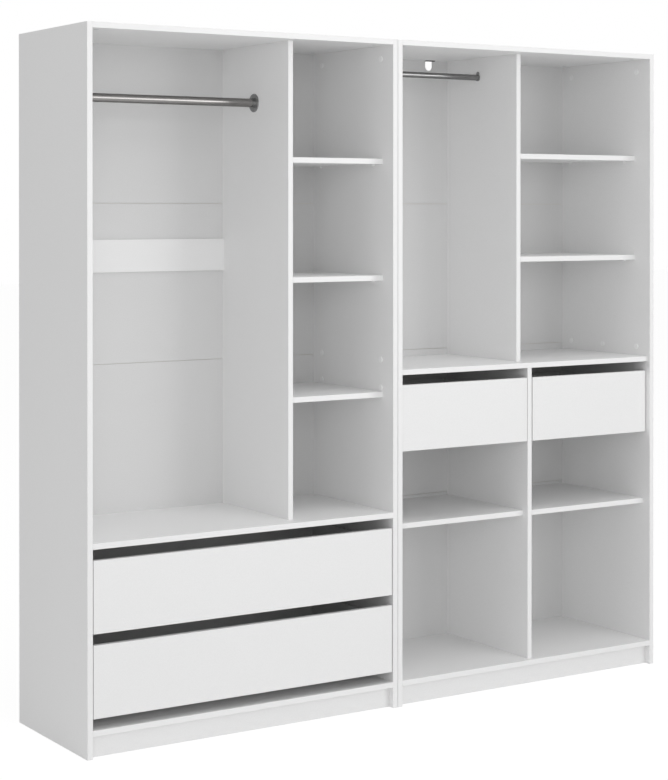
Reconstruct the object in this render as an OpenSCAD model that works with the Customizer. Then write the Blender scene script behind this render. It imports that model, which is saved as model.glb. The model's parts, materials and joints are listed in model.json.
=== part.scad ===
// Open wardrobe of two joined carcasses, with two hanging rails, shelves and four drawers.
// The origin is at floor level in the middle: +X to the right, the open front faces -Y.

/* [Carcasses] */
// Width of each of the two carcasses
carcass_w = 1000; // [980:1:1080]
// Gap between the two carcasses
joint_gap = 1.5; // [0.5:0.5:3]
// Height from the floor to the top
height = 1962; // [1940:1:2060]
// Depth from the front edges to the rear edges
depth = 450; // [448:1:560]
// Thickness of the coated boards
board = 16; // [15:0.5:19]
// Radius of the edging along the front edges of the boards
edge_r = 1; // [0.5:0.1:1.5]
// Height of the plinth under the bottom panels
plinth_h = 60; // [45:1:90]
// Distance of the plinth behind the front edges
plinth_setback = 21; // [10:1:60]

/* [Back sheets] */
// Thickness of the back sheets
sheet_t = 3; // [2.5:0.5:4]
// Distance of the back sheets in front of the rear edges
sheet_inset = 9; // [6:1:12]
// Depth of the groove that holds a back sheet
groove_depth = 6; // [4:0.5:8]
// Space left at the bottom of a groove
groove_spare = 1; // [0.5:0.5:2]
// Play of a sheet across its groove
groove_play = 0.2; // [0.1:0.1:0.5]
// Number of leaves in a folding back sheet
leaves = 4; // [2:1:6]
// Width of the fold between two leaves
fold_gap = 1; // [0.5:0.5:2]
// Width of the tape behind a fold
tape_w = 40; // [25:5:60]
// Thickness of the tape behind a fold
tape_t = 0.3; // [0.2:0.1:0.6]
// Width of the wall-fixing notch in the right back sheet
notch_w = 28; // [20:1:40]
// Height of the wall-fixing notch below the top panel
notch_h = 32.5; // [25:0.5:45]
// Distance from the notch centre to the upper divider
notch_from_divider = 75; // [40:0.5:120]

/* [Left carcass] */
// Clear width of the left hanging bay
left_bay_w = 642; // [560:1:680]
// Distance of the left divider and cubby shelves behind the front
cubby_setback = 56; // [20:1:100]
// Clear height of the lowest cubby
cubby_first = 334; // [300:1:345]
// Spacing of the cubby shelves
cubby_pitch = 344.5; // [300:0.5:350]
// Height of the stiffener board across the left bay
stiffener_h = 96; // [60:1:140]
// Thickness of the stiffener board
stiffener_t = 8; // [6:1:12]
// Height of the stiffener above the left shelf
stiffener_up = 705; // [500:5:900]

/* [Right carcass] */
// Clear width of the centre bay
centre_bay_w = 482.5; // [460:0.5:500]
// Underside of the right shelf above the floor
right_shelf_z = 974; // [940:1:1000]
// Distance of the right shelf behind the front
right_setback = 15; // [5:1:16]
// Distance of the lower divider behind the front
lower_divider_setback = 18; // [5:1:30]
// Distance of the upper divider and shelves behind the front
right_upper_setback = 74; // [30:1:100]
// Distance of the centre low shelf behind the front
centre_low_setback = 42; // [20:1:80]
// Distance of the right low shelf behind the front
right_low_setback = 34; // [20:1:80]
// Clear height under the low shelves
low_shelf_first = 439; // [350:1:460]
// Clear height above the right shelf
upper_first = 310; // [260:1:315]
// Spacing of the two upper right shelves
upper_pitch = 321; // [280:1:340]

/* [Hanging rails] */
// Outer diameter of the left rail
left_rail_d = 25; // [20:1:30]
// Outer diameter of the right rail
right_rail_d = 18; // [16:1:22]
// Wall of both rail tubes
rail_wall = 1.2; // [0.8:0.1:2]
// Distance of the left rail behind the front edges
left_rail_y = 249; // [200:1:300]
// Distance of the right rail behind the front edges
right_rail_y = 272; // [200:1:300]
// Drop of the left rail's centre below the top panel
left_rail_drop = 169.5; // [60:0.5:220]
// Drop of the right rail's centre below the top panel
right_rail_drop = 62; // [40:1:120]
// Diameter of the round flanges of the left rail
flange_d = 54; // [46:1:66]
// Thickness of the round flanges
flange_t = 3; // [2:0.5:5]
// Length of the collar round the left rail
collar_len = 8; // [6:1:20]
// Wall of a collar or cradle round a rail
collar_wall = 1.5; // [1.2:0.1:3]
// Radial play of a rail in its collar or cradle
rail_play = 0.15; // [0.1:0.05:0.3]
// Length of the cradles of the right rail
cup_len = 5; // [4:0.5:12]
// Thickness of the plate behind a cradle
cup_plate = 2; // [1.5:0.5:3]
// Rise of a cradle's tab above the right rail
tab_rise = 10; // [8:0.5:14]
// Width of a cradle's tab
tab_w = 14; // [12:0.5:16]

/* [Drawers] */
// Height of the drawer fronts
front_h = 196; // [175:1:205]
// Finger gap round the drawer fronts
finger_gap = 30; // [25:1:32]
// Gap at each side of a drawer front
front_side_gap = 3; // [2:0.5:4]
// Distance of a drawer front behind the shelf above it
front_recess = 2; // [1:0.5:2]
// Thickness of the drawer sides and back
box_t = 12; // [10:1:13]
// Height of the drawer sides
box_h = 150; // [100:1:160]
// Height of the drawer sides above the front's lower edge
box_lift = 14; // [8:1:15]
// Thickness of the drawer bottom
bottom_t = 3; // [2.5:0.5:4]
// Height of the drawer bottom above the sides' lower edge
bottom_up = 10; // [8:1:14]
// Depth of the grooves for the drawer bottom
bottom_groove = 5; // [3:0.5:6]
// Play of a drawer back between the drawer sides
back_play = 0.1; // [0.05:0.05:0.2]
// How far a drawer pulls out
travel = 300; // [200:10:320]

/* [Ball-bearing slides] */
// Length of the slide members
slide_len = 400; // [380:10:400]
// Thickness of a slide between cabinet and drawer
slide_t = 12.7; // [12.2:0.1:13.5]
// Height of a slide's centre above the drawer side's lower edge
slide_up = 62; // [40:1:90]
// Height from a slide's centre to its balls
ball_z = 14.3; // [12:0.1:16]
// Diameter of the balls
ball_d = 4; // [3.5:0.1:4.2]
// Play between a ball and its raceway
ball_play = 0.08; // [0.06:0.01:0.1]
// Thickness of the slide steel
slide_steel = 1.1; // [0.9:0.1:1.2]
// Width of the stop tab at the rear of a cabinet member
stop_w = 10; // [8:0.5:12]
// Thickness of the ball cage
cage_t = 0.5; // [0.4:0.1:0.6]
// Play of the ball cage between the lips
cage_play = 0.15; // [0.1:0.05:0.2]
// Balls in one row
balls_in_row = 6; // [4:1:7]
// Spacing of the balls
ball_pitch = 13; // [10:0.5:13]
// Gap between the slide ends and the drawer's ends
slide_end = 1; // [0.5:0.5:1.5]

/* [Fittings] */
// Diameter of a cam lock
cam_d = 15; // [14:0.5:16]
// Depth of a cam lock
cam_depth = 12.5; // [12:0.5:13.5]
// Distance of a cam's centre from the board's end
cam_in = 34; // [24:1:34]
// Distance of the outer cams from a board's edge
cam_edge = 50; // [37:1:70]
// Distance of the upper divider's rear cams in front of the lower divider's
cam_stagger = 32; // [16:1:64]
// Diameter of a cam bolt's neck
bolt_d = 5; // [4:0.5:6]
// Length of a cam bolt inside the other board
bolt_bite = 11; // [8:0.5:12]
// Play of fittings in their holes
hole_play = 0.1; // [0.05:0.05:0.2]
// Diameter of the shelf pins
pin_d = 5; // [4:0.5:6]
// Length of a shelf pin's peg under the shelf
pin_len = 8; // [6:0.5:10]
// Length of a shelf pin inside the board
pin_bite = 7; // [5:0.5:7]
// Distance of the shelf pins from a shelf's edges
pin_edge = 45; // [30:1:70]
// Diameter of the connector sleeves between the carcasses
sleeve_d = 8; // [7:0.5:10]
// Diameter of the bolts in the connector sleeves
connector_d = 5; // [4:0.5:6]
// Diameter of the connector heads
head_d = 15; // [13:0.2:15.4]
// Thickness of the connector heads
head_t = 1.2; // [1:0.1:2]
// Distance of the connectors behind the front edges
connector_front = 65; // [50:1:90]
// Distance of the connectors in front of the rear edges
connector_rear = 60; // [45:1:90]
// Drop of the top connectors below the top panel
connector_drop = 38; // [25:1:50]
// Distance of the connectors above the right shelf
connector_above = 29; // [15:1:50]
// Distance of the connectors below the right shelf
connector_below = 38; // [22:1:42]
// Distance of the middle blanking cap behind the front
cap_middle = 230; // [180:1:300]
// Wall of a cover cap
cap_wall = 0.9; // [0.6:0.1:1.2]
// Diameter of the fitting screws
screw_d = 3.5; // [3:0.1:4]
// Length of the fitting screws
screw_len = 13; // [10:0.5:14]
// Depth of the cross recess in a screw head
recess_depth = 1; // [0.8:0.1:1.1]
// Width of the cross recess in a screw head
recess_w = 0.8; // [0.6:0.1:1]
// Width of the wall tie plate
plate_w = 30; // [30:1:40]
// Length of the wall tie plate
plate_len = 14; // [14:1:30]
// Thickness of the wall tie plate
plate_t = 3; // [2:0.5:4]
// Diameter of the hole in the wall tie plate
plate_hole_d = 6; // [4:0.5:7]
// Distance of the tie plate's screws from its ends
plate_screw_in = 6; // [5:0.5:7]

/* [Hidden] */
$fn = 48;

WHITE = [0.93, 0.93, 0.92];
SHEET = [0.86, 0.86, 0.85];
STEEL = [0.55, 0.54, 0.53];
DARK = [0.22, 0.22, 0.23];
GREY = [0.36, 0.36, 0.37];
ZINC = [0.72, 0.73, 0.75];

// A tiny overlap that lets a cut break through a face
eps = 0.01;

// Widths: x is counted from the outer face of the left carcass
total_w = 2 * carcass_w + joint_gap;
right_x0 = carcass_w + joint_gap;
bay_x0 = board;
bay_x1 = carcass_w - board;
left_div_x0 = bay_x0 + left_bay_w;
left_div_x1 = left_div_x0 + board;
right_bay_x0 = right_x0 + board;
right_bay_x1 = total_w - board;
right_div_x0 = right_bay_x0 + centre_bay_w;
right_div_x1 = right_div_x0 + board;

// Heights
base_top = plinth_h + board;
top_under = height - board;
left_shelf_z = base_top + 3 * finger_gap + 2 * front_h;
left_shelf_top = left_shelf_z + board;
right_shelf_top = right_shelf_z + board;
cubby_z = [for (i = [0:2]) left_shelf_top + cubby_first + i * cubby_pitch];
upper_z = [for (i = [0:1]) right_shelf_top + upper_first + i * upper_pitch];
low_z = base_top + low_shelf_first;
stiffener_z = left_shelf_top + stiffener_up;
left_rail_z = top_under - left_rail_drop;
right_rail_z = top_under - right_rail_drop;

// Depths: y is counted from the front edges to the rear
sheet_y = depth - sheet_inset - sheet_t;
sheet_seat = groove_depth - groove_spare;
sheet_z0 = base_top - sheet_seat;
sheet_z1 = top_under + sheet_seat;
leaf_h = (sheet_z1 - sheet_z0 - (leaves - 1) * fold_gap) / leaves;

// Notch for a wall tie, and the plate above it
notch_x = right_div_x0 - notch_from_divider;
plate_y0 = sheet_y - plate_len;

// Connectors between the carcasses, as [y, z]
connector_y = [connector_front, depth - connector_rear];
connector_z = [
    top_under - connector_drop,
    right_shelf_top + connector_above,
    right_shelf_z - connector_below
];
connectors = [for (z = connector_z) for (y = connector_y) [y, z]];
blanks = concat(
    [for (z = [connector_z[0], connector_z[1]]) for (y = connector_y) [y, z]],
    [[cap_middle, connector_z[1]]]
);
cap_d = head_d + 2 * cap_wall + 2 * hole_play;

// Slides
race_r = ball_d / 2 + ball_play;
lip_z = cage_t / 2 + cage_play;
ball_x = slide_t / 2;
cage_x = (ball_x - race_r - cage_t) / 2;
cage_start = travel / 2 + slide_end;
cage_len = slide_len - travel - 2 * slide_end;
box_len = slide_len + 2 * slide_end;

// Each drawer: left face of its bay, right face of its bay, front's lower edge, front face
left_lower = [bay_x0, bay_x1, base_top + finger_gap, front_recess];
left_upper = [bay_x0, bay_x1, base_top + 2 * finger_gap + front_h, front_recess];
right_front_z = right_shelf_z - finger_gap - front_h;
centre = [right_bay_x0, right_div_x0, right_front_z, right_setback + front_recess];
right = [right_div_x1, right_bay_x1, right_front_z, right_setback + front_recess];
drawers = [left_lower, left_upper, centre, right];

function box_y0(d) = d[3] + board;
function box_y1(d) = box_y0(d) + box_len;
function box_z0(d) = d[2] + box_lift;
function slide_z(d) = box_z0(d) + slide_up;

// Moves the model so that the origin is at floor level in the middle
module place() {
    translate([-total_w / 2, -depth / 2, 0]) children();
}

// A block between two corners
module block(low, high) {
    translate(low) cube(high - low);
}

// Outline of a board whose front edge is at y = 0, with both front arrises rounded
module edged_outline(t, d) {
    translate([0, edge_r]) square([t, d - edge_r]);
    translate([edge_r, 0]) square([t - 2 * edge_r, 2 * edge_r]);
    for (x = [edge_r, t - edge_r]) translate([x, edge_r]) circle(r = edge_r);
}

// Upright board between two corners
module upright(low, high) {
    translate(low) linear_extrude(high[2] - low[2]) edged_outline(high[0] - low[0], high[1] - low[1]);
}

// Level board between two corners
module level(low, high) {
    translate([low[0], low[1], high[2]]) rotate([0, 90, 0])
        linear_extrude(high[0] - low[0]) edged_outline(high[2] - low[2], high[1] - low[1]);
}

module tube_x(r, len) {
    rotate([0, 90, 0]) cylinder(r = r, h = len);
}

// Groove for a back sheet in a side panel whose inner face is at x, opening towards way
module side_groove(x, way) {
    x0 = way > 0 ? x - groove_depth : x - eps;
    block([x0, sheet_y, -eps], [x0 + groove_depth + eps, sheet_y + sheet_t + groove_play, height + eps]);
}

// Cam joints

// Cam housings and bolt holes at the end face of a board; the board runs along +X from x = 0
// and the cam opens downwards, with the bolt at half the board's thickness
module cam_cut() {
    translate([cam_in, 0, -eps]) cylinder(r = cam_d / 2 + hole_play, h = cam_depth + 2 * hole_play + eps);
    translate([-eps, 0, board / 2]) tube_x(bolt_d / 2 + 1, cam_in);
}

// Bolt hole in the board that the end face meets
module bolt_cut() {
    translate([-bolt_bite - hole_play, 0, board / 2]) tube_x(bolt_d / 2 + hole_play, bolt_bite + 1);
}

module cam_lock() {
    difference() {
        translate([cam_in, 0, hole_play]) cylinder(r = cam_d / 2, h = cam_depth);
        translate([cam_in - cam_d, 0, board / 2]) tube_x(bolt_d / 2 + 1.4, cam_d + 1.5);
        translate([cam_in - cam_d / 3, -0.75, -eps]) cube([2 * cam_d / 3, 1.5, 2]);
        translate([cam_in - 0.75, -cam_d / 3, -eps]) cube([1.5, 2 * cam_d / 3, 2]);
    }
}

module cam_bolt() {
    translate([0, 0, board / 2]) {
        translate([-bolt_bite, 0, 0]) tube_x(bolt_d / 2, bolt_bite + cam_in - 3);
        translate([cam_in - 3, 0, 0]) tube_x(bolt_d / 2 + 0.9, 3);
        tube_x(bolt_d / 2 + 0.8, 2);
    }
}

// Puts cam joints at both ends of a horizontal board from x0 to x1 with its underside at z
module at_board_ends(x0, x1, ys, z) {
    for (y = ys) {
        translate([x0, y, z]) children();
        translate([x1, y, z]) mirror([1, 0, 0]) children();
    }
}

// Puts cam joints at both ends of an upright board from z0 to z1, with the cams in its right face
module at_divider_ends(x1, ys, z0, z1) {
    for (y = ys) {
        translate([x1, y, z0]) rotate([0, -90, 0]) children();
        translate([x1, y, z1]) mirror([0, 0, 1]) rotate([0, -90, 0]) children();
    }
}

// Puts cam joints at both ends of a plinth, with the cams in its rear face
module at_plinth_ends(x0, x1) {
    y = plinth_setback + board;
    translate([x0, y, plinth_h / 2]) rotate([90, 0, 0]) children();
    translate([x1, y, plinth_h / 2]) mirror([1, 0, 0]) rotate([90, 0, 0]) children();
}

function cam_rows(front, stagger = 0) = [front + cam_edge, sheet_y - cam_edge - stagger];

module left_cams() {
    at_board_ends(bay_x0, bay_x1, cam_rows(0), top_under) children();
    at_board_ends(bay_x0, bay_x1, cam_rows(0), plinth_h) children();
    at_board_ends(bay_x0, bay_x1, cam_rows(0), left_shelf_z) children();
    at_divider_ends(left_div_x1, cam_rows(cubby_setback), left_shelf_top, top_under) children();
    at_plinth_ends(bay_x0, bay_x1) children();
}

module right_cams() {
    at_board_ends(right_bay_x0, right_bay_x1, cam_rows(0), top_under) children();
    at_board_ends(right_bay_x0, right_bay_x1, cam_rows(0), plinth_h) children();
    at_board_ends(right_bay_x0, right_bay_x1, cam_rows(right_setback), right_shelf_z) children();
    at_divider_ends(right_div_x1, cam_rows(right_upper_setback, cam_stagger), right_shelf_top, top_under)
        children();
    at_divider_ends(right_div_x1, cam_rows(lower_divider_setback), base_top, right_shelf_z) children();
    at_plinth_ends(right_bay_x0, right_bay_x1) children();
}

// Shelf pins

// Puts a pin at each corner of a loose shelf between the faces x0 and x1, with its underside at z
module at_shelf_corners(x0, x1, front, z) {
    for (y = [front + pin_edge, sheet_y - pin_edge]) {
        translate([x0, y, z]) children();
        translate([x1, y, z]) mirror([1, 0, 0]) children();
    }
}

module left_pins() {
    for (z = cubby_z) at_shelf_corners(left_div_x1, bay_x1, cubby_setback, z) children();
}

module right_pins() {
    for (z = upper_z) at_shelf_corners(right_div_x1, right_bay_x1, right_upper_setback, z) children();
    at_shelf_corners(right_bay_x0, right_div_x0, centre_low_setback, low_z) children();
    at_shelf_corners(right_div_x1, right_bay_x1, right_low_setback, low_z) children();
}

module pin_cut() {
    translate([-pin_bite - hole_play, 0, -pin_d / 2])
        tube_x(pin_d / 2 + hole_play, pin_bite + hole_play + eps);
}

module shelf_pin() {
    translate([-pin_bite, 0, -pin_d / 2]) tube_x(pin_d / 2, pin_bite);
    intersection() {
        translate([0, 0, -pin_d / 2]) tube_x(pin_d / 2 + 1.5, pin_len);
        translate([-eps, -pin_d, -2 * pin_d]) cube([pin_len + 2 * eps, 2 * pin_d, 2 * pin_d]);
    }
}

// Rail supports and their screws

// Screw holes, seen from the board face at x = 0 with the support towards +X
flange_screws = [for (s = [-1, 1]) [s * (flange_d + left_rail_d + 2 * collar_wall) / 4, flange_t]];
cup_screws = [[-right_rail_d / 6, cup_plate], [right_rail_d / 2 + tab_rise / 2, cup_plate]];

module at_left_rail() {
    translate([bay_x0, left_rail_y, left_rail_z]) children();
    translate([left_div_x0, left_rail_y, left_rail_z]) mirror([1, 0, 0]) children();
}

module at_right_rail() {
    translate([right_bay_x0, right_rail_y, right_rail_z]) children();
    translate([right_div_x0, right_rail_y, right_rail_z]) mirror([1, 0, 0]) children();
}

// Countersunk screw whose head ends flush with a plate of thickness t
module screw(t, play) {
    head = screw_d / 2 - 0.2;
    translate([t - screw_len - play, 0, 0]) tube_x(screw_d / 2 + play, screw_len + play);
    translate([t - head, 0, 0]) rotate([0, 90, 0])
        cylinder(r1 = screw_d / 2 + play, r2 = screw_d / 2 + head + play, h = head + (play > 0 ? eps : 0));
}

module screws(list, play) {
    for (s = list) translate([0, 0, s[0]]) screw(s[1], play);
}

// Screws with a cross recess in each head
module driven_screws(list) {
    difference() {
        screws(list, 0);
        for (s = list) translate([s[1], 0, s[0]]) for (turn = [0, 90]) rotate([turn, 0, 0])
            cube([2 * recess_depth, recess_w, screw_d], center = true);
    }
}

// Connectors

module at_connectors(x) {
    for (c = connectors) translate([x, c[0], c[1]]) children();
}

module connector_cut(x0, x1) {
    at_connectors(x0 - eps) tube_x(sleeve_d / 2 + hole_play, x1 - x0 + 2 * eps);
}

// Side panels, grooved for the back sheet

module side_panel(x, inner_x, way) {
    difference() {
        upright([x, 0, 0], [x + board, depth, height]);
        side_groove(inner_x, way);
    }
}

module left_outer_side() {
    color(WHITE) place() difference() {
        side_panel(0, bay_x0, 1);
        left_cams() bolt_cut();
        at_left_rail() screws(flange_screws, hole_play);
    }
}

module left_inner_side() {
    color(WHITE) place() difference() {
        side_panel(bay_x1, bay_x1, -1);
        left_cams() bolt_cut();
        left_pins() pin_cut();
        connector_cut(bay_x1, carcass_w);
    }
}

module right_inner_side() {
    color(WHITE) place() difference() {
        side_panel(right_x0, right_bay_x0, 1);
        right_cams() bolt_cut();
        right_pins() pin_cut();
        at_right_rail() screws(cup_screws, hole_play);
        connector_cut(right_x0, right_bay_x0);
    }
}

module right_outer_side() {
    color(WHITE) place() difference() {
        side_panel(right_bay_x1, right_bay_x1, -1);
        right_cams() bolt_cut();
        right_pins() pin_cut();
        for (b = blanks) translate([right_bay_x1 - eps, b[0], b[1]])
            tube_x(sleeve_d / 2 + hole_play, 0.75 * board);
    }
}

// Horizontal panels

module top_panel(x0, x1) {
    difference() {
        level([x0, 0, top_under], [x1, depth, height]);
        block([x0 - eps, sheet_y, top_under - eps],
              [x1 + eps, sheet_y + sheet_t + groove_play, top_under + groove_depth]);
    }
}

module bottom_panel(x0, x1) {
    difference() {
        level([x0, 0, plinth_h], [x1, depth, base_top]);
        block([x0 - eps, sheet_y, base_top - groove_depth],
              [x1 + eps, sheet_y + sheet_t + groove_play, base_top + eps]);
    }
}

module left_top_panel() {
    color(WHITE) place() difference() {
        top_panel(bay_x0, bay_x1);
        left_cams() cam_cut();
        left_cams() bolt_cut();
    }
}

module right_top_panel() {
    color(WHITE) place() difference() {
        top_panel(right_bay_x0, right_bay_x1);
        right_cams() cam_cut();
        right_cams() bolt_cut();
        at_plate_screws() screws([[0, plate_t]], hole_play);
    }
}

module left_bottom_panel() {
    color(WHITE) place() difference() {
        bottom_panel(bay_x0, bay_x1);
        left_cams() cam_cut();
    }
}

module right_bottom_panel() {
    color(WHITE) place() difference() {
        bottom_panel(right_bay_x0, right_bay_x1);
        right_cams() cam_cut();
        right_cams() bolt_cut();
    }
}

module left_mid_shelf() {
    color(WHITE) place() difference() {
        level([bay_x0, 0, left_shelf_z], [bay_x1, sheet_y, left_shelf_top]);
        left_cams() cam_cut();
        left_cams() bolt_cut();
    }
}

module right_mid_shelf() {
    color(WHITE) place() difference() {
        level([right_bay_x0, right_setback, right_shelf_z], [right_bay_x1, sheet_y, right_shelf_top]);
        right_cams() cam_cut();
        right_cams() bolt_cut();
    }
}

// Dividers

module left_divider() {
    color(WHITE) place() difference() {
        upright([left_div_x0, cubby_setback, left_shelf_top], [left_div_x1, sheet_y, top_under]);
        left_cams() cam_cut();
        left_pins() pin_cut();
        at_left_rail() screws(flange_screws, hole_play);
    }
}

module right_upper_divider() {
    color(WHITE) place() difference() {
        upright([right_div_x0, right_upper_setback, right_shelf_top], [right_div_x1, sheet_y, top_under]);
        right_cams() cam_cut();
        right_pins() pin_cut();
        at_right_rail() screws(cup_screws, hole_play);
    }
}

module right_lower_divider() {
    color(WHITE) place() difference() {
        upright([right_div_x0, lower_divider_setback, base_top], [right_div_x1, sheet_y, right_shelf_z]);
        right_cams() cam_cut();
        right_pins() pin_cut();
    }
}

// Plinths

module left_plinth() {
    color(WHITE) place() difference() {
        block([bay_x0, plinth_setback, 0], [bay_x1, plinth_setback + board, plinth_h]);
        left_cams() cam_cut();
    }
}

module right_plinth() {
    color(WHITE) place() difference() {
        block([right_bay_x0, plinth_setback, 0], [right_bay_x1, plinth_setback + board, plinth_h]);
        right_cams() cam_cut();
    }
}

// Back sheets, each folded from leaves that a tape joins behind

function leaf_z(i) = sheet_z0 + i * (leaf_h + fold_gap);

module back_leaves(x0, x1) {
    for (i = [0:leaves - 1])
        block([x0 - sheet_seat, sheet_y, leaf_z(i)],
              [x1 + sheet_seat, sheet_y + sheet_t, leaf_z(i) + leaf_h]);
}

module left_back_sheet() {
    color(SHEET) place() back_leaves(bay_x0, bay_x1);
}

module right_back_sheet() {
    color(SHEET) place() difference() {
        back_leaves(right_bay_x0, right_bay_x1);
        translate([notch_x, sheet_y - 1, top_under - notch_h + notch_w / 2]) {
            rotate([-90, 0, 0]) cylinder(r = notch_w / 2, h = sheet_t + 2);
            translate([-notch_w / 2, 0, 0]) cube([notch_w, sheet_t + 2, notch_h]);
        }
    }
}

module back_fold_tapes() {
    color(WHITE) place() for (span = [[bay_x0, bay_x1], [right_bay_x0, right_bay_x1]])
        for (i = [1:leaves - 1]) {
            z = leaf_z(i) - fold_gap / 2;
            y = sheet_y + sheet_t;
            block([span[0] + 1, y, z - tape_w / 2], [span[1] - 1, y + tape_t, z + tape_w / 2]);
        }
}

// Loose shelves

module cubby_shelf(i) {
    color(WHITE) place()
        level([left_div_x1, cubby_setback, cubby_z[i]], [bay_x1, sheet_y, cubby_z[i] + board]);
}

module upper_shelf(i) {
    color(WHITE) place()
        level([right_div_x1, right_upper_setback, upper_z[i]], [right_bay_x1, sheet_y, upper_z[i] + board]);
}

module low_shelf(x0, x1, front) {
    color(WHITE) place() level([x0, front, low_z], [x1, sheet_y, low_z + board]);
}

module left_stiffener() {
    color(WHITE) place()
        level([bay_x0, sheet_y - stiffener_t, stiffener_z],
              [left_div_x0, sheet_y, stiffener_z + stiffener_h]);
}

// Hanging rails

module rail_tube(d, len) {
    difference() {
        tube_x(d / 2, len);
        translate([-eps, 0, 0]) tube_x(d / 2 - rail_wall, len + 2 * eps);
    }
}

module left_hanging_rail() {
    color(STEEL) place() translate([bay_x0 + flange_t + rail_play, left_rail_y, left_rail_z])
        rail_tube(left_rail_d, left_bay_w - 2 * (flange_t + rail_play));
}

module right_hanging_rail() {
    color(GREY) place() translate([right_bay_x0 + cup_plate + rail_play, right_rail_y, right_rail_z])
        rail_tube(right_rail_d, right_div_x0 - right_bay_x0 - 2 * (cup_plate + rail_play));
}

// Round flange with a collar that the tube slips into
module rail_flange() {
    collar_r = left_rail_d / 2 + rail_play;
    difference() {
        rotate([0, 90, 0]) rotate_extrude() difference() {
            union() {
                square([flange_d / 2, flange_t - 1]);
                square([flange_d / 2 - 1, flange_t]);
                translate([flange_d / 2 - 1, flange_t - 1]) circle(r = 1);
                square([collar_r + collar_wall, flange_t + collar_len]);
            }
            translate([0, flange_t]) square([collar_r, collar_len + 1]);
        }
        screws(flange_screws, hole_play);
    }
}

module left_rail_flanges() {
    color(DARK) place() at_left_rail() rail_flange();
}

// Half-round cradle that the tube drops into, on a plate with a rounded tab above the tube
module rail_cup() {
    inner_r = right_rail_d / 2 + rail_play;
    outer_r = inner_r + collar_wall;
    tab_top = right_rail_d / 2 + tab_rise;
    difference() {
        union() {
            tube_x(outer_r, cup_plate);
            translate([0, -tab_w / 2, 0]) cube([cup_plate, tab_w, tab_top - tab_w / 2]);
            translate([0, 0, tab_top - tab_w / 2]) tube_x(tab_w / 2, cup_plate);
            intersection() {
                tube_x(outer_r, cup_len);
                translate([0, -outer_r, -outer_r]) cube([cup_len, 2 * outer_r, outer_r]);
            }
        }
        translate([cup_plate, 0, 0]) tube_x(inner_r, cup_len);
        screws(cup_screws, hole_play);
    }
}

module right_rail_cups() {
    color(DARK) place() at_right_rail() rail_cup();
}

// Plate under the top panel, over the notch, that a wall tie hooks onto

module at_plate_screws() {
    for (s = [-1, 1])
        translate([notch_x + s * (plate_w / 2 - plate_screw_in), plate_y0 + plate_len / 2, top_under])
            rotate([0, 90, 0]) children();
}

module wall_tie_plate() {
    color(DARK) place() difference() {
        block([notch_x - plate_w / 2, plate_y0, top_under - plate_t],
              [notch_x + plate_w / 2, sheet_y, top_under]);
        translate([notch_x, plate_y0 + plate_len / 2, top_under - plate_t - eps])
            cylinder(r = plate_hole_d / 2, h = plate_t + 2 * eps);
        at_plate_screws() screws([[0, plate_t]], hole_play);
    }
}

// Fasteners and caps

module shelf_pins() {
    color(WHITE) place() {
        left_pins() shelf_pin();
        right_pins() shelf_pin();
    }
}

module cam_locks() {
    color(ZINC) place() {
        left_cams() cam_lock();
        right_cams() cam_lock();
    }
}

module cam_bolts() {
    color(ZINC) place() {
        left_cams() cam_bolt();
        right_cams() cam_bolt();
    }
}

module fitting_screws() {
    color(DARK) place() {
        at_left_rail() driven_screws(flange_screws);
        at_right_rail() driven_screws(cup_screws);
        at_plate_screws() driven_screws([[0, plate_t]]);
    }
}

// A sleeve from the left carcass and a bolt that screws into it from the right
module connector_bolts() {
    joint_w = right_bay_x0 - bay_x1;
    color(ZINC) place() {
        at_connectors(bay_x1) difference() {
            union() {
                translate([-head_t, 0, 0]) tube_x(head_d / 2, head_t);
                tube_x(sleeve_d / 2, joint_w * 0.8);
            }
            translate([2, 0, 0]) tube_x(connector_d / 2 + hole_play, joint_w);
        }
        at_connectors(right_bay_x0) mirror([1, 0, 0]) difference() {
            union() {
                translate([-head_t, 0, 0]) tube_x(head_d / 2, head_t);
                tube_x(connector_d / 2, joint_w * 0.8);
            }
            translate([-head_t - eps, 0, 0]) rotate([0, 90, 0]) cylinder(r = 2, h = 1.5 * head_t, $fn = 6);
        }
    }
}

// Cap that clips over a connector head; it stands on the board face at x = 0, towards +X
module head_cap() {
    difference() {
        tube_x(cap_d / 2, head_t + hole_play + cap_wall);
        translate([-eps, 0, 0]) tube_x(head_d / 2 + hole_play, head_t + hole_play + eps);
    }
}

// Cap with a stem that plugs an unused connector hole
module blank_cap() {
    tube_x(cap_d / 2, head_t + cap_wall);
    translate([-board / 2, 0, 0]) tube_x(sleeve_d / 2, board / 2 + eps);
}

module cover_caps() {
    color(WHITE) place() {
        at_connectors(bay_x1) mirror([1, 0, 0]) head_cap();
        at_connectors(right_bay_x0) head_cap();
        for (b = blanks) translate([right_bay_x1, b[0], b[1]]) mirror([1, 0, 0]) blank_cap();
    }
}

// Ball-bearing slides. Each profile is drawn in the plane x, z with the cabinet's face at x = 0
// and the drawer's side at x = slide_t, and then runs back along +Y.

module ball_rows() {
    for (s = [-1, 1]) translate([ball_x, s * ball_z]) children();
}

module cabinet_profile() {
    reach = ball_z + race_r;
    difference() {
        union() {
            translate([0, -reach - slide_steel]) square([slide_steel, 2 * (reach + slide_steel)]);
            translate([0, reach]) square([ball_x, slide_steel]);
            translate([0, -reach - slide_steel]) square([ball_x, slide_steel]);
            ball_rows() circle(r = race_r + slide_steel);
        }
        ball_rows() circle(r = race_r);
        translate([slide_steel, -ball_z - lip_z]) square([slide_t, 2 * (ball_z + lip_z)]);
    }
}

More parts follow.
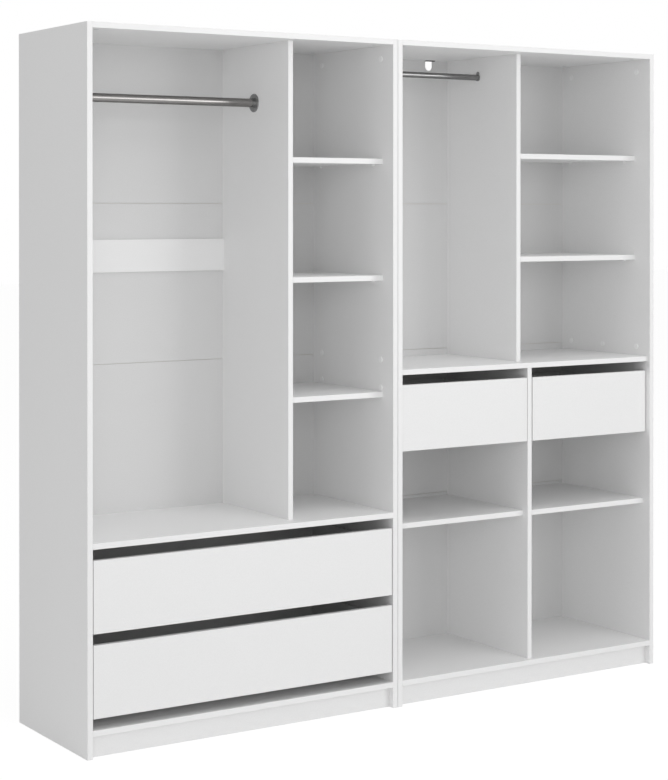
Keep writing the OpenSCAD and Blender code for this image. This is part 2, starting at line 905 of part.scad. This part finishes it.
module drawer_profile() {
    reach = ball_z - race_r;
    difference() {
        union() {
            translate([slide_t - slide_steel, -reach]) square([slide_steel, 2 * reach]);
            translate([ball_x, reach - slide_steel]) square([slide_t - ball_x, slide_steel]);
            translate([ball_x, -reach]) square([slide_t - ball_x, slide_steel]);
            ball_rows() circle(r = race_r + slide_steel);
        }
        ball_rows() circle(r = race_r);
        for (s = [-1, 1]) translate([slide_t / 2, s * (ball_z - lip_z + race_r + slide_steel)])
            square([slide_t, 2 * (race_r + slide_steel)], center = true);
    }
}

module cage_profile() {
    half = ball_z + cage_t / 2;
    translate([cage_x, -half]) square([cage_t, 2 * half]);
    for (s = [-1, 1]) translate([cage_x, s * ball_z - cage_t / 2])
        square([ball_x + race_r + slide_steel - cage_x, cage_t]);
}

module run_back(len) {
    translate([0, len, 0]) rotate([90, 0, 0]) linear_extrude(len) children();
}

// Three screw holes in the web of a slide member, which lies between x and x + slide_steel
module web_holes(x) {
    for (y = [0.1, 0.5, 0.9] * slide_len)
        translate([x - 1, y, 0]) tube_x(screw_d / 2 + 0.5, slide_steel + 2);
}

// The cabinet member, with a tab bent up at its rear end that keeps the ball cage in
module cabinet_member() {
    difference() {
        union() {
            run_back(slide_len) cabinet_profile();
            block([0, slide_len - slide_steel, -stop_w / 2], [ball_x + race_r, slide_len, stop_w / 2]);
        }
        web_holes(0);
    }
}

module drawer_member() {
    difference() {
        run_back(slide_len) drawer_profile();
        web_holes(slide_t - slide_steel);
    }
}

module ball_cage() {
    first = (cage_len - (balls_in_row - 1) * ball_pitch) / 2;
    difference() {
        run_back(cage_len) cage_profile();
        for (s = [-1, 1]) for (i = [0:balls_in_row - 1])
            translate([ball_x, first + i * ball_pitch, s * ball_z - 1])
                cylinder(r = ball_d / 2 + ball_play / 2, h = 2);
    }
    for (s = [-1, 1]) for (i = [0:balls_in_row - 1])
        translate([ball_x, first + i * ball_pitch, s * ball_z]) sphere(r = ball_d / 2);
}

// Puts a slide at the left and right of a drawer, at its front end
module at_slides(d) {
    y = box_y0(d) + slide_end;
    translate([d[0], y, slide_z(d)]) children();
    translate([d[1], y, slide_z(d)]) mirror([1, 0, 0]) children();
}

module cabinet_slides() {
    color(ZINC) place() for (d = drawers) at_slides(d) cabinet_member();
}

module drawer_slides(d) {
    color(ZINC) place() at_slides(d) drawer_member();
}

module drawer_cages(d) {
    color(STEEL) place() at_slides(d) translate([0, cage_start, 0]) ball_cage();
}

// Drawers

// Groove that runs round a drawer for its bottom
module bottom_cut(d, spare) {
    x0 = d[0] + slide_t + box_t - bottom_groove;
    x1 = d[1] - slide_t - box_t + bottom_groove;
    z0 = box_z0(d) + bottom_up;
    block([x0 - spare, box_y0(d) - bottom_groove - spare, z0],
          [x1 + spare, box_y1(d) + 2 * spare, z0 + bottom_t + 2 * spare]);
}

// The front's edging is rounded on all four sides
module drawer_front(d) {
    low = [d[0] + front_side_gap, d[3], d[2]];
    high = [d[1] - front_side_gap, box_y0(d), d[2] + front_h];
    color(WHITE) place() difference() {
        intersection() {
            upright(low, high);
            level(low, high);
        }
        bottom_cut(d, hole_play);
    }
}

module drawer_box(d) {
    x0 = d[0] + slide_t;
    x1 = d[1] - slide_t;
    z0 = box_z0(d);
    color(WHITE) place() {
        difference() {
            for (x = [x0, x1 - box_t])
                block([x, box_y0(d), z0], [x + box_t, box_y1(d), z0 + box_h]);
            bottom_cut(d, hole_play);
        }
        block([x0 + box_t + back_play, box_y1(d) - box_t, z0 + bottom_up + bottom_t + 2 * hole_play],
              [x1 - box_t - back_play, box_y1(d), z0 + box_h]);
    }
}

module drawer_bottom(d) {
    color(SHEET) place() bottom_cut(d, 0);
}

left_outer_side();
left_inner_side();
left_top_panel();
left_bottom_panel();
left_mid_shelf();
left_divider();
left_plinth();
left_back_sheet();
cubby_shelf(0);  // lower_cubby_shelf
cubby_shelf(1);  // middle_cubby_shelf
cubby_shelf(2);  // upper_cubby_shelf
left_stiffener();
left_hanging_rail();
left_rail_flanges();
right_inner_side();
right_outer_side();
right_top_panel();
right_bottom_panel();
right_mid_shelf();
right_upper_divider();
right_lower_divider();
right_plinth();
right_back_sheet();
upper_shelf(1);  // right_upper_shelf
upper_shelf(0);  // right_middle_shelf
low_shelf(right_bay_x0, right_div_x0, centre_low_setback);  // centre_low_shelf
low_shelf(right_div_x1, right_bay_x1, right_low_setback);  // right_low_shelf
right_hanging_rail();
right_rail_cups();
wall_tie_plate();
back_fold_tapes();
shelf_pins();
cam_locks();
cam_bolts();
connector_bolts();
cover_caps();
fitting_screws();
cabinet_slides();
drawer_front(left_lower);  // left_lower_drawer_front
drawer_box(left_lower);  // left_lower_drawer_box
drawer_bottom(left_lower);  // left_lower_drawer_bottom
drawer_slides(left_lower);  // left_lower_drawer_slides
drawer_cages(left_lower);  // left_lower_drawer_cages
drawer_front(left_upper);  // left_upper_drawer_front
drawer_box(left_upper);  // left_upper_drawer_box
drawer_bottom(left_upper);  // left_upper_drawer_bottom
drawer_slides(left_upper);  // left_upper_drawer_slides
drawer_cages(left_upper);  // left_upper_drawer_cages
drawer_front(centre);  // centre_drawer_front
drawer_box(centre);  // centre_drawer_box
drawer_bottom(centre);  // centre_drawer_bottom
drawer_slides(centre);  // centre_drawer_slides
drawer_cages(centre);  // centre_drawer_cages
drawer_front(right);  // right_drawer_front
drawer_box(right);  // right_drawer_box
drawer_bottom(right);  // right_drawer_bottom
drawer_slides(right);  // right_drawer_slides
drawer_cages(right);  // right_drawer_cages
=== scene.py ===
import json
import math

import bmesh
import bpy
from mathutils import Euler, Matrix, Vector


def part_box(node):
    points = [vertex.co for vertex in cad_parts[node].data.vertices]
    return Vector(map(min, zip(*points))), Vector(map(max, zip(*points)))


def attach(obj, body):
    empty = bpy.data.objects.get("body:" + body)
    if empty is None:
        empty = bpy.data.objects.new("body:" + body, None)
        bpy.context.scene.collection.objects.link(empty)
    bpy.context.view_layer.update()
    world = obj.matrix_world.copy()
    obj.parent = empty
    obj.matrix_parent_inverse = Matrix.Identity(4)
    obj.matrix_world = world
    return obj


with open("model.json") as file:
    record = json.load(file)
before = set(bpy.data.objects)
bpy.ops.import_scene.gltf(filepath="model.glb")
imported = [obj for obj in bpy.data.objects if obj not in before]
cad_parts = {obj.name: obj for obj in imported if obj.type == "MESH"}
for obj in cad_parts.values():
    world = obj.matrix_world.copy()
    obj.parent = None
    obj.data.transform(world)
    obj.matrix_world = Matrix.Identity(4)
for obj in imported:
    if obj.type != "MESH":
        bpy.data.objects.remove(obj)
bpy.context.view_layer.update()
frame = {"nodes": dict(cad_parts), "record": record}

# Looks of an open white wardrobe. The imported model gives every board, rail, slide and fitting at its
# real size; this script gives each one its finish, adds the small screws, and sets the light and camera.

MM = 0.001
DRAWERS = ["left_lower_drawer", "left_upper_drawer", "centre_drawer", "right_drawer"]


# Node helpers

SIDE_FACING = 0.9  # least share of a face's normal along an axis for the face to count as facing that way


def rgba(colour):
    """A grey or a colour as a socket's value."""
    if isinstance(colour, (int, float)):
        colour = (colour, colour, colour)
    return (*colour, 1.0)


class Nodes:
    """The node tree of a material or world, emptied first, with one short method per kind of node."""

    def __init__(self, owner, output):
        owner.use_nodes = True
        self.owner = owner
        self.tree = owner.node_tree
        self.tree.nodes.clear()
        self.output = self.node(output)

    def node(self, kind, inputs=None, **settings):
        made = self.tree.nodes.new("ShaderNode" + kind)
        for key, value in settings.items():
            setattr(made, key, value)
        for key, value in (inputs or {}).items():
            self.set(made.inputs[key], value)
        return made

    def set(self, socket, value):
        if isinstance(value, bpy.types.NodeSocket):
            self.tree.links.new(value, socket)
        else:
            socket.default_value = value

    def surface(self, shader):
        """Ends the tree with a shader node and returns the material or world."""
        self.set(self.output.inputs["Surface"], shader.outputs[0])
        return self.owner

    def principled(self, **inputs):
        named = {key.replace("_", " "): value for key, value in inputs.items()}
        return self.surface(self.node("BsdfPrincipled", named))

    def position(self, stretch=(1, 1, 1)):
        """The point on the object in metres, scaled along each axis."""
        coords = self.node("TexCoord").outputs["Object"]
        return self.node("Mapping", {"Vector": coords, "Scale": stretch}).outputs["Vector"]

    def noise(self, scale, detail=3.0, stretch=(1, 1, 1), roughness=0.5):
        """Soft noise; scale is in cells a metre."""
        made = self.node("TexNoise", {"Vector": self.position(stretch), "Scale": scale,
                                      "Detail": detail, "Roughness": roughness})
        return made.outputs["Fac"]

    def cells(self, scale):
        """Distance to the middle of crystal-like cells; scale is in cells a metre."""
        return self.node("TexVoronoi", {"Vector": self.position(), "Scale": scale}).outputs["Distance"]

    def ramp(self, factor, *stops):
        """A colour ramp; each stop is (place, grey or colour)."""
        made = self.node("ValToRGB", {"Fac": factor})
        elements = made.color_ramp.elements
        while len(elements) < len(stops):
            elements.new(0.5)
        for element, (place, colour) in zip(elements, stops):
            element.position = place
            element.color = rgba(colour)
        return made.outputs["Color"]

    def math(self, operation, *values):
        return self.node("Math", dict(enumerate(values)), operation=operation).outputs[0]

    def mix(self, factor, a, b):
        made = self.node("Mix", {"Factor": factor}, data_type="RGBA")
        for key, value in (("A", a), ("B", b)):
            self.set(made.inputs[key], value if isinstance(value, bpy.types.NodeSocket) else rgba(value))
        return made.outputs["Result"]

    def bump(self, height, depth, strength=1.0):
        """A bump normal; depth is the real height of the relief in metres."""
        made = self.node("Bump", {"Height": height, "Distance": depth, "Strength": strength})
        return made.outputs["Normal"]

    def facing(self, axis, sign):
        """1 where the surface faces along one axis (0, 1, 2) of the frame, in the given sense."""
        normal = self.node("NewGeometry").outputs["True Normal"]
        parts = self.node("SeparateXYZ", {"Vector": normal})
        return self.math("GREATER_THAN", self.math("MULTIPLY", parts.outputs[axis], sign), SIDE_FACING)

    def seen(self):
        """1 for camera, glossy and transmission rays, and 0 for the rays that carry light."""
        rays = self.node("LightPath").outputs
        return self.math("MAXIMUM", rays["Is Camera Ray"],
                         self.math("MAXIMUM", rays["Is Glossy Ray"], rays["Is Transmission Ray"]))


def material(name):
    return Nodes(bpy.data.materials.new(name), "OutputMaterial")


# Colours: whites and greys as one number, others as red, green and blue

BOARD_WHITE = 0.865
BOARD_DARKER = 0.035
BOARD_BRIGHTER = 0.02
FRONT_WHITE = 0.82
STIFFENER_WHITE = 0.84
EDGE_WHITE = 0.835
SHEET_WHITE = 0.73
# The left back sheet is the same hardboard as the others, set darker as painted shade for the hanging bay
LEFT_SHEET_SHADED_WHITE = 0.69
WHITE_SPREAD = 0.02
DRAWER_SHEET_WHITES = (0.70, 0.75)
FOIL_WHITES = (0.72, 0.77)
PLASTIC_WHITES = (0.90, 0.93)
FIBRE_BROWNS = ((0.17, 0.095, 0.05), (0.36, 0.22, 0.125))
PRESSED_BROWNS = ((0.215, 0.120, 0.062), (0.335, 0.205, 0.118))
TAPE_CREAMS = ((0.66, 0.63, 0.56), (0.76, 0.73, 0.66))
NICKEL_GREYS = ((0.25, 0.243, 0.237), (0.29, 0.283, 0.277))
CHROME_GREYS = (0.25, 0.29)
SATIN_GREYS = (0.26, 0.34)
DARK_LACQUER_GREYS = (0.05, 0.08)
ZINC_GREYS = ((0.50, 0.52, 0.55), (0.66, 0.67, 0.69))
BEARING_GREYS = (0.42, 0.62)

MELAMINE_IOR = 1.48
TUBE_ROUGHNESS = 0.20
TUBE_GLOSS_TINT = 0.35


# Materials

def melamine():
    """White melamine: a fine pearled grain on the faces, and smoother edging on the front edges."""
    s = material("white_melamine")
    grain = s.noise(420, detail=4, roughness=0.6)
    cloud = s.noise(9, detail=2)
    grained = s.ramp(grain, (0.30, BOARD_WHITE - BOARD_DARKER), (0.70, BOARD_WHITE + BOARD_BRIGHTER))
    face = s.mix(s.math("MULTIPLY", cloud, 0.4), grained, BOARD_WHITE)
    edge = s.facing(1, -1)
    rough = s.ramp(grain, (0.2, 0.40), (0.8, 0.52))
    pearl = s.bump(s.noise(900, detail=2), depth=0.06 * MM, strength=0.5)
    return s.principled(Base_Color=s.mix(edge, face, EDGE_WHITE), Roughness=s.mix(edge, rough, 0.34),
                        Normal=pearl, IOR=MELAMINE_IOR)


def front_melamine(name, white):
    """The melamine of boards whose broad faces look forward."""
    s = material(name)
    grain = s.noise(420, detail=4, roughness=0.6)
    face = s.ramp(grain, (0.30, white - WHITE_SPREAD), (0.70, white + WHITE_SPREAD))
    rough = s.ramp(grain, (0.2, 0.36), (0.8, 0.46))
    pearl = s.bump(s.noise(900, detail=2), depth=0.05 * MM, strength=0.5)
    return s.principled(Base_Color=face, Roughness=rough, Normal=pearl, IOR=MELAMINE_IOR)


def hardboard(name, lacquer):
    """Thin hardboard, lacquered white on its front face and raw brown fibre on its rear face."""
    s = material(name)
    fibres = s.noise(260, detail=6, roughness=0.7, stretch=(1, 1, 1.6))
    blotch = s.noise(14, detail=3)
    cloud = s.noise(2.6, detail=4, roughness=0.6)
    fibrous = s.ramp(fibres, (0.25, FIBRE_BROWNS[0]), (0.75, FIBRE_BROWNS[1]))
    pressed = s.ramp(cloud, (0.36, PRESSED_BROWNS[0]), (0.64, PRESSED_BROWNS[1]))
    raw = s.mix(s.math("MULTIPLY", blotch, 0.9), fibrous, pressed)
    white = s.ramp(s.noise(380, detail=4), (0.3, lacquer - WHITE_SPREAD), (0.7, lacquer + WHITE_SPREAD))
    behind = s.facing(1, 1)
    return s.principled(Base_Color=s.mix(behind, white, raw), Roughness=s.mix(behind, 0.55, 0.85),
                        Normal=s.bump(fibres, depth=0.12 * MM, strength=0.6))


def sheet_white():
    """Thin fibreboard lacquered white on both faces."""
    s = material("white_drawer_bottom")
    dark, bright = DRAWER_SHEET_WHITES
    fibres = s.noise(260, detail=6, roughness=0.7)
    return s.principled(Base_Color=s.ramp(s.noise(380, detail=4), (0.3, dark), (0.7, bright)),
                        Roughness=0.55, Normal=s.bump(fibres, depth=0.08 * MM, strength=0.6))


def drawer_foil():
    """White paper foil on the drawer boxes, with a fine woven emboss."""
    s = material("white_drawer_foil")
    dark, bright = FOIL_WHITES
    warp = s.noise(1500, detail=1, stretch=(0.2, 0.2, 1.0))
    weft = s.noise(1500, detail=1, stretch=(1.0, 1.0, 0.2))
    weave = s.math("ADD", warp, weft)
    return s.principled(Base_Color=s.ramp(s.math("MULTIPLY", weave, 0.5), (0.35, dark), (0.65, bright)),
                        Roughness=0.58, Normal=s.bump(weave, depth=0.08 * MM, strength=0.6))


def polished_tube(name, greys):
    """A plated tube, polished over fine marks drawn along its length."""
    s = material(name)
    drawn = s.noise(900, detail=3, stretch=(0.02, 1, 1))
    soft = s.noise(40, detail=2)
    tone = s.math("ADD", s.math("MULTIPLY", drawn, 0.7), s.math("MULTIPLY", soft, 0.3))
    rough = s.ramp(drawn, (0.3, TUBE_ROUGHNESS - 0.03), (0.7, TUBE_ROUGHNESS + 0.03))
    return s.principled(Base_Color=s.ramp(tone, (0.3, greys[0]), (0.7, greys[1])), Metallic=1.0,
                        Roughness=rough, Specular_Tint=rgba(TUBE_GLOSS_TINT),
                        Normal=s.bump(drawn, depth=0.01 * MM, strength=0.15))


def dark_lacquer(name, greys):
    """Satin finish over cast or pressed steel."""
    s = material(name)
    cast = s.noise(700, detail=3)
    return s.principled(Base_Color=s.ramp(cast, (0.3, greys[0]), (0.7, greys[1])), Metallic=0.9,
                        Roughness=s.ramp(cast, (0.3, 0.28), (0.7, 0.38)),
                        Normal=s.bump(cast, depth=0.04 * MM, strength=0.5))


def zinc():
    """Bright zinc plating with a faint bluish mottle."""
    s = material("zinc_plate")
    flakes = s.cells(260.0)
    return s.principled(Base_Color=s.ramp(flakes, (0.1, ZINC_GREYS[0]), (0.8, ZINC_GREYS[1])),
                        Metallic=1.0, Roughness=s.ramp(flakes, (0.1, 0.30), (0.8, 0.42)),
                        Normal=s.bump(s.noise(1200), depth=0.02 * MM, strength=0.5))


def bearing_steel():
    """Polished balls in a plated cage."""
    s = material("bearing_steel")
    grease = s.noise(300, detail=3)
    return s.principled(Base_Color=s.ramp(grease, (0.3, BEARING_GREYS[0]), (0.7, BEARING_GREYS[1])),
                        Metallic=1.0, Roughness=s.ramp(grease, (0.3, 0.12), (0.7, 0.24)))


def white_plastic():
    """Moulded caps with a fine spark-eroded skin."""
    s = material("white_plastic")
    skin = s.noise(1600, detail=2)
    return s.principled(Base_Color=s.ramp(skin, (0.3, PLASTIC_WHITES[0]), (0.7, PLASTIC_WHITES[1])),
                        Roughness=0.36, Normal=s.bump(skin, depth=0.04 * MM, strength=0.5))


def paper_tape():
    """Creped paper tape."""
    s = material("paper_tape")
    crepe = s.noise(500, detail=3, stretch=(1, 1, 0.1))
    return s.principled(Base_Color=s.ramp(crepe, (0.3, TAPE_CREAMS[0]), (0.7, TAPE_CREAMS[1])),
                        Roughness=0.8, Normal=s.bump(crepe, depth=0.15 * MM, strength=0.7))


def dress(node, finish):
    """Gives a CAD node its finish."""
    slots = frame["nodes"][node].data.materials
    slots.clear()
    slots.append(finish)


finishes = {
    "white_board": melamine(),
    "back_sheet": hardboard("hardboard_back", SHEET_WHITE),
    "drawer_board": drawer_foil(),
    "brushed_tube": polished_tube("polished_nickel", NICKEL_GREYS),
    "dark_steel": dark_lacquer("satin_nickel", SATIN_GREYS),
    "grey_tube": polished_tube("polished_chrome", CHROME_GREYS),
    "zinc_steel": zinc(),
    "bearing_steel": bearing_steel(),
    "white_plastic": white_plastic(),
    "white_tape": paper_tape(),
}
for part in frame["record"]["subparts"]:
    dress(part["node"], finishes[part["material_slot"]])

# Nodes whose finish differs from that of their slot
fronts = front_melamine("white_front_melamine", FRONT_WHITE)
drawer_bottoms = sheet_white()
for drawer in DRAWERS:
    dress(drawer + "_front", fronts)
    dress(drawer + "_bottom", drawer_bottoms)
for plinth in ("left_plinth", "right_plinth"):
    dress(plinth, fronts)
# Painted shade: the left back sheet gets a darker copy of the same white lacquer, standing for the shade
# in the hanging bay
dress("left_back_sheet", hardboard("hardboard_left_back_painted_shade", LEFT_SHEET_SHADED_WHITE))
dress("left_stiffener", front_melamine("white_stiffener_melamine", STIFFENER_WHITE))
dress("wall_tie_plate", dark_lacquer("dark_plate_lacquer", DARK_LACQUER_GREYS))


# Slide screws

SLIDE_T = 12.7 * MM
SLIDE_STEEL = 1.1 * MM
SCREW_PLACES = (0.1, 0.5, 0.9)
SCREW_SIDES = 24
SCREW_TURN = math.radians(23)
SHANK_R = 1.75 * MM
HEAD_R = 3.2 * MM
HEAD_T = 0.7 * MM
HEAD_RIM_T = 0.35 * MM
HEAD_CROWN = 0.6 * MM
CROSS_REACH = 1.7 * MM
CROSS_HALF = 0.35 * MM
CROSS_DEPTH = 0.4 * MM


def add_screw(bm, seat, sense, turn):
    """Adds one cross-head screw. Its head rises from the seat along X, and its shank fills the web."""
    def vertex(y, z, height):
        return bm.verts.new(Vector(seat) + Vector((sense * height, y, z)))

    def ring(radius, height):
        angles = [2 * math.pi * i / SCREW_SIDES for i in range(SCREW_SIDES)]
        return [vertex(radius * math.cos(a), radius * math.sin(a), height) for a in angles]

    def cross(height):
        quarter = [(CROSS_REACH, -CROSS_HALF), (CROSS_REACH, CROSS_HALF), (CROSS_HALF, CROSS_HALF)]
        outline = []
        for i in range(4):
            angle = turn + i * math.pi / 2
            for y, z in quarter:
                outline.append(vertex(y * math.cos(angle) - z * math.sin(angle),
                                      y * math.sin(angle) + z * math.cos(angle), height))
        return outline

    def wall(low, high):
        for i in range(len(low)):
            j = (i + 1) % len(low)
            bm.faces.new((low[i], low[j], high[j], high[i]))

    rings = [ring(SHANK_R, -SLIDE_STEEL), ring(SHANK_R, 0), ring(HEAD_R, 0), ring(HEAD_R, HEAD_RIM_T),
             ring(HEAD_R - HEAD_CROWN, HEAD_T)]
    for low, high in zip(rings, rings[1:]):
        wall(low, high)
    bm.faces.new(rings[0])
    mouth, floor = cross(HEAD_T), cross(HEAD_T - CROSS_DEPTH)
    wall(floor, mouth)
    bmesh.ops.triangulate(bm, faces=[bm.faces.new(floor)])
    rim = [bm.edges.get((loop[i], loop[(i + 1) % len(loop)])) for loop in (rings[-1], mouth)
           for i in range(len(loop))]
    bmesh.ops.triangle_fill(bm, use_beauty=True, edges=rim)


def slide_screws(name, body, seats):
    """One piece of screws; each seat is (place, sense of the head along X)."""
    bm = bmesh.new()
    for number, (seat, sense) in enumerate(seats):
        add_screw(bm, seat, sense, SCREW_TURN * number)
    bmesh.ops.recalc_face_normals(bm, faces=bm.faces)
    mesh = bpy.data.meshes.new(name)
    bm.to_mesh(mesh)
    bm.free()
    mesh.materials.append(finishes["zinc_steel"])
    screws = bpy.data.objects.new(name, mesh)
    bpy.context.scene.collection.objects.link(screws)
    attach(screws, body)


for drawer in DRAWERS:
    slide_low, slide_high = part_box(drawer + "_slides")
    box_low, box_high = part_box(drawer + "_box")
    length = slide_high[1] - slide_low[1]
    middle_z = (slide_low[2] + slide_high[2]) / 2
    cabinet_seats, drawer_seats = [], []
    for side_x, inward in ((box_low[0], 1), (box_high[0], -1)):
        board_x = side_x - inward * SLIDE_T
        for share in SCREW_PLACES:
            y = slide_low[1] + share * length
            cabinet_seats.append(((board_x + inward * SLIDE_STEEL, y, middle_z), inward))
            drawer_seats.append(((side_x - inward * SLIDE_STEEL, y, middle_z), -inward))
    slide_screws(drawer + "_cabinet_screws", "carcasses", cabinet_seats)
    slide_screws(drawer + "_member_screws", drawer, drawer_seats)


# Floor, light and camera

FLOOR_SIZE = 60
FLOOR_DROP = 0.5 * MM
FLOOR_PALE = 0.9  # as a source of bounced light
FLOOR_SEEN = 0.10  # the part of the seen floor that takes light and shadow
FLOOR_GLOW = 0.945  # the part of the seen floor that is always white
AMBIENT = 0.385
OBJECT_MIDDLE = (0.0, 0.0, 1.0)
# Each lamp: name, place in metres, size in metres, power in watts
LAMPS = (
    ("left_softbox", (-7.2, -0.5, 1.6), 4.0, 26),
    ("front_left_softbox", (-4.0, -6.0, 1.6), 4.0, 108),
    ("front_right_softbox", (3.3, -6.1, 1.75), 3.3, 93),
    ("high_front_softbox", (0.0, -4.5, 5.5), 4.0, 55),
    ("top_softbox", (0.0, -1.5, 7.5), 4.0, 101),
)


def stage_floor():
    """A white floor that keeps a faint shadow of the object, and is plain and pale to bounced light."""
    bpy.ops.mesh.primitive_plane_add(size=FLOOR_SIZE, location=(0, 0, -FLOOR_DROP))
    floor = bpy.context.object
    floor.name = "studio_floor"
    s = material("studio_floor")
    seen = s.seen()
    matt = s.node("BsdfDiffuse", {"Color": s.mix(seen, FLOOR_PALE, FLOOR_SEEN)})
    glow = s.node("Emission", {"Color": rgba(1.0), "Strength": s.math("MULTIPLY", seen, FLOOR_GLOW)})
    both = s.node("AddShader", {0: matt.outputs["BSDF"], 1: glow.outputs["Emission"]})
    floor.data.materials.append(s.surface(both))


def studio_world():
    """An even pale room: white to the camera and in reflections, dimmer as a light source."""
    s = Nodes(bpy.data.worlds.new("studio"), "OutputWorld")
    light = s.node("Background", {"Color": rgba(1.0), "Strength": AMBIENT})
    white = s.node("Background", {"Color": rgba(1.0), "Strength": 1.0})
    blend = s.node("MixShader", {0: s.seen(), 1: light.outputs[0], 2: white.outputs[0]})
    bpy.context.scene.world = s.surface(blend)


def soft_lamp(name, place, size, power):
    """A square softbox that faces the middle of the object."""
    lamp = bpy.data.lights.new(name, "AREA")
    lamp.shape = "SQUARE"
    lamp.size = size
    lamp.energy = power
    holder = bpy.data.objects.new(name, lamp)
    bpy.context.scene.collection.objects.link(holder)
    holder.location = place
    holder.rotation_euler = (Vector(OBJECT_MIDDLE) - Vector(place)).to_track_quat("-Z", "Y").to_euler()


# Where the photograph was taken from: metres in the frame, degrees, and pixels of the photograph
CAMERA_PLACE = (-3.17493, -4.81062, 1.46135)
CAMERA_YAW = 32.768
CAMERA_PITCH = -0.301
IMAGE_WIDTH = 668
IMAGE_HEIGHT = 780
SENSOR = 36.0
FOCAL_PIXELS = 1899.72
CENTRE_ROW = 220.0
FAR_CLIP = 100


def photo_camera():
    """The photograph's viewpoint and framing."""
    data = bpy.data.cameras.new("photo_camera")
    data.sensor_fit = "VERTICAL"
    data.sensor_height = SENSOR
    data.sensor_width = SENSOR * IMAGE_WIDTH / IMAGE_HEIGHT
    data.lens = FOCAL_PIXELS / IMAGE_HEIGHT * SENSOR
    data.shift_y = (CENTRE_ROW - IMAGE_HEIGHT / 2) / IMAGE_HEIGHT
    data.clip_end = FAR_CLIP
    camera = bpy.data.objects.new("photo_camera", data)
    bpy.context.scene.collection.objects.link(camera)
    camera.location = CAMERA_PLACE
    camera.rotation_euler = Euler((math.radians(90 + CAMERA_PITCH), 0, -math.radians(CAMERA_YAW)))
    bpy.context.scene.camera = camera


stage_floor()
studio_world()
for lamp in LAMPS:
    soft_lamp(*lamp)
photo_camera()
bpy.context.scene.view_settings.view_transform = "Standard"
